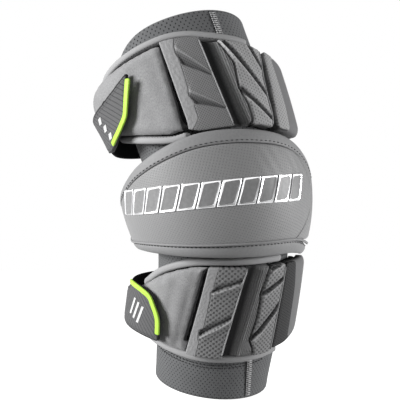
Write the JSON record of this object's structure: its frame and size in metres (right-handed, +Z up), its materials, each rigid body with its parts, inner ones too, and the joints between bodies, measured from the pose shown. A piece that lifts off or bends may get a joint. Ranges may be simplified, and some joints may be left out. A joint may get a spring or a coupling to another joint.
{
  "type": "lacrosse arm pad",
  "caption": "Long arm guard: a mesh sleeve with padded panels on the upper arm and forearm, a moulded elbow cap and strap tabs.",
  "frame": {"origin": "middle of the arm at the elbow, on the centre line of the arm opening", "axes": "+Z up along the arm from the hand to the shoulder, -Y out through the elbow cap, +X to the side of the outer plates"},
  "size_m": [0.2013, 0.1794, 0.3543],
  "materials": {
    "sleeve_mesh": "perforated elastic mesh knit",
    "dark_base": "dark brushed lining over foam",
    "knit": "light grey brushed knit over foam",
    "rail": "smooth light grey moulded strip",
    "plate_mesh": "grey mesh cloth moulded over foam",
    "tape": "light grey woven binding tape",
    "webbing": "black elastic webbing",
    "tab_fabric": "embossed dark grey cloth with stitched edges",
    "trim": "bright green edge tape",
    "cap": "matte grey moulded cover with a fine grain"
  },
  "bodies": {
    "root": {"sleeve_upper": "sleeve_mesh", "sleeve_elbow": "sleeve_mesh", "sleeve_forearm": "sleeve_mesh", "upper_base": "dark_base", "upper_wing": "knit", "upper_rail": "rail", "upper_front_plate": "plate_mesh", "upper_side_plate": "plate_mesh", "upper_outer_plate": "plate_mesh", "upper_top_binding": "tape", "upper_strap": "webbing", "upper_tab": "tab_fabric", "upper_tab_trim": "trim", "lower_base": "dark_base", "lower_wing": "knit", "lower_rail": "rail", "lower_front_plate": "plate_mesh", "lower_side_plate": "plate_mesh", "lower_outer_plate": "plate_mesh", "lower_top_binding": "tape", "lower_strap": "webbing", "lower_tab": "tab_fabric", "lower_tab_trim": "trim", "upper_wing_binding": "tape", "lower_bottom_binding": "tape", "cap_liner": "dark_base", "cap_face": "cap", "cap_side_strip": "cap", "cap_top_band": "cap", "cap_bottom_band": "cap", "cap_piping": "tape"}
  },
  "joints": []
}
